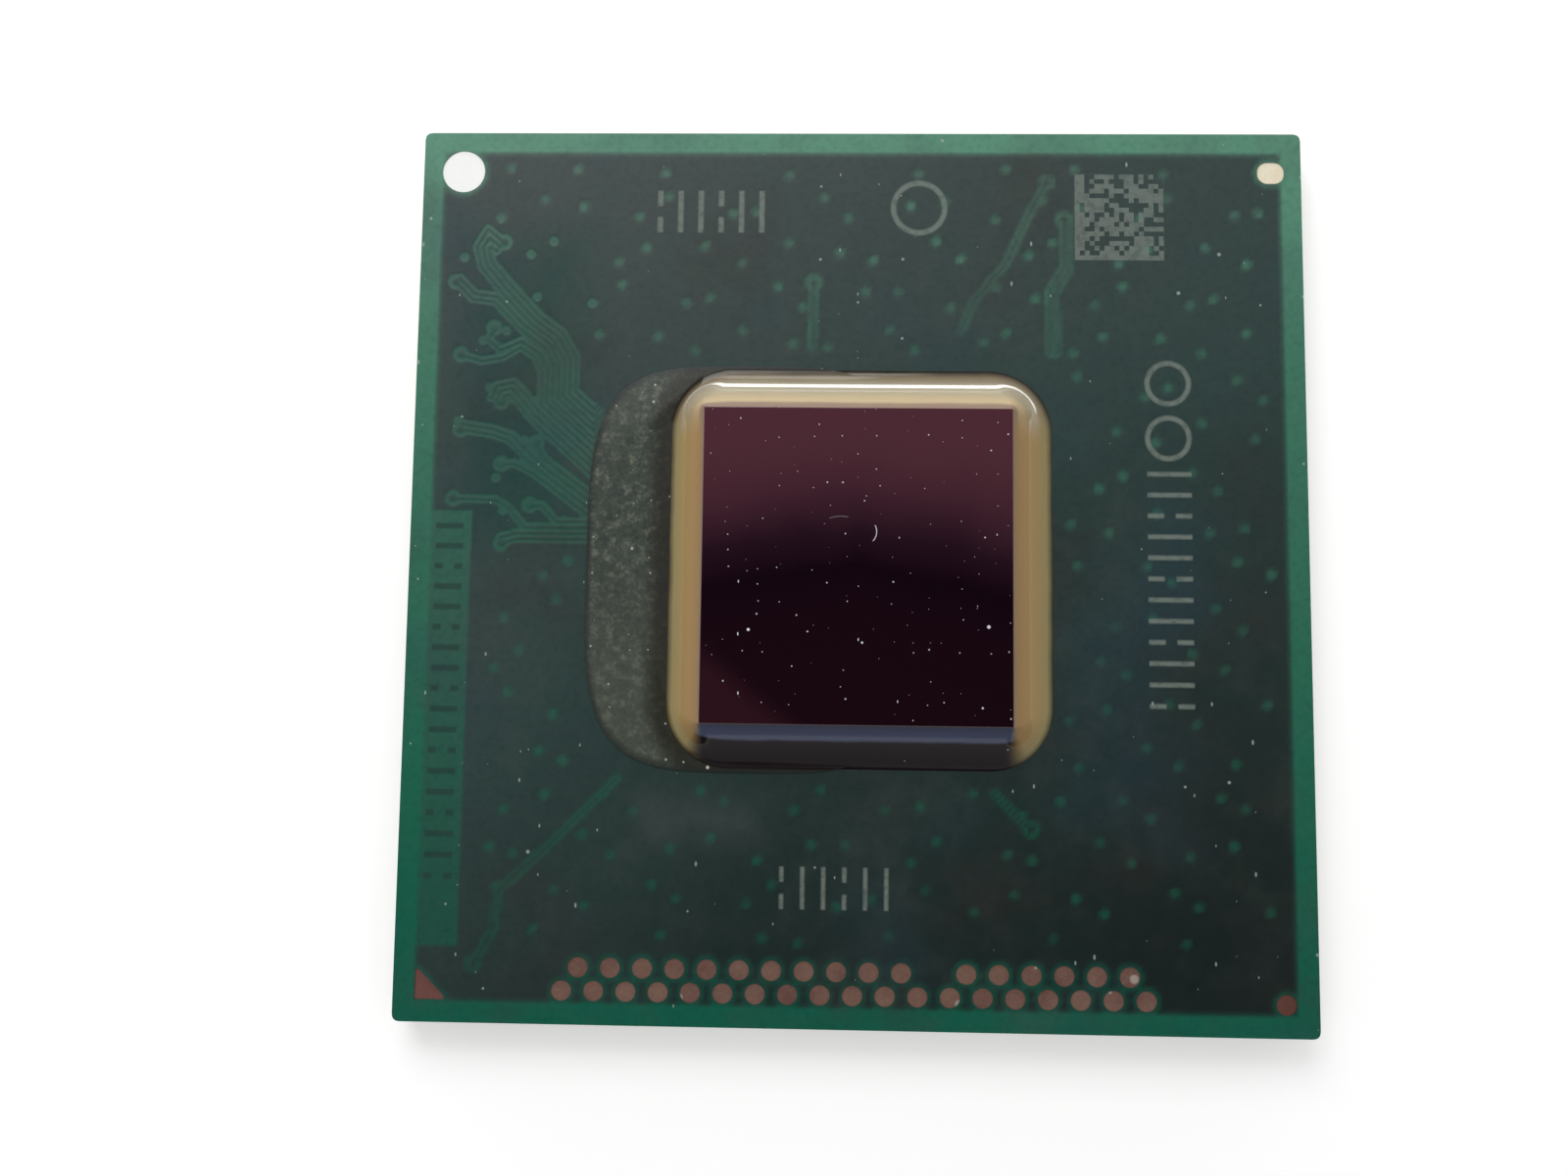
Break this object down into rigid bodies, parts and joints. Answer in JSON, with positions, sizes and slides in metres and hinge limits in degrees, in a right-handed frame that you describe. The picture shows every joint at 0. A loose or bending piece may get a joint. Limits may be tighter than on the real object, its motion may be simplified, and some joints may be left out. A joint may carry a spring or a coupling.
{
  "type": "flip-chip ball grid array chip",
  "caption": "Square green laminate chip package with a bare dark die in a cream underfill fillet, test pads along one edge and solder balls underneath.",
  "frame": {"origin": "centre of the board's outline, on the seating plane at the lowest points of the solder balls", "axes": "+Z from the balls up to the die, +X to the right with the two rows of test pads at the front, +Y towards the back edge"},
  "size_m": [0.02, 0.02, 0.0016],
  "materials": {
    "laminate": "sawn glass-epoxy edge",
    "copper": "etched copper under the mask",
    "solder_mask": "satin dark green solder mask, lighter where no copper lies under it",
    "silicon": "polished, with dust specks",
    "underfill": "glossy cured epoxy",
    "pad_finish": "dull pinkish plating",
    "bright_plating": "bright plating",
    "pale_gold": "pale gold plating",
    "solder": "reflowed solder"
  },
  "bodies": {
    "root": {"board_core": "laminate", "top_copper": "copper", "signal_tracks": "copper", "top_mask": "solder_mask", "bottom_mask": "solder_mask", "ball_lands": "copper", "corner_balls": "solder", "ball_field": "solder", "die": "silicon", "die_bumps": "copper", "underfill": "underfill", "front_test_pads": "pad_finish", "back_test_pads": "pad_finish", "round_corner_land": "bright_plating", "bright_corner_land": "pale_gold", "small_corner_land": "pad_finish", "pin_one_mark": "pad_finish"}
  },
  "joints": []
}
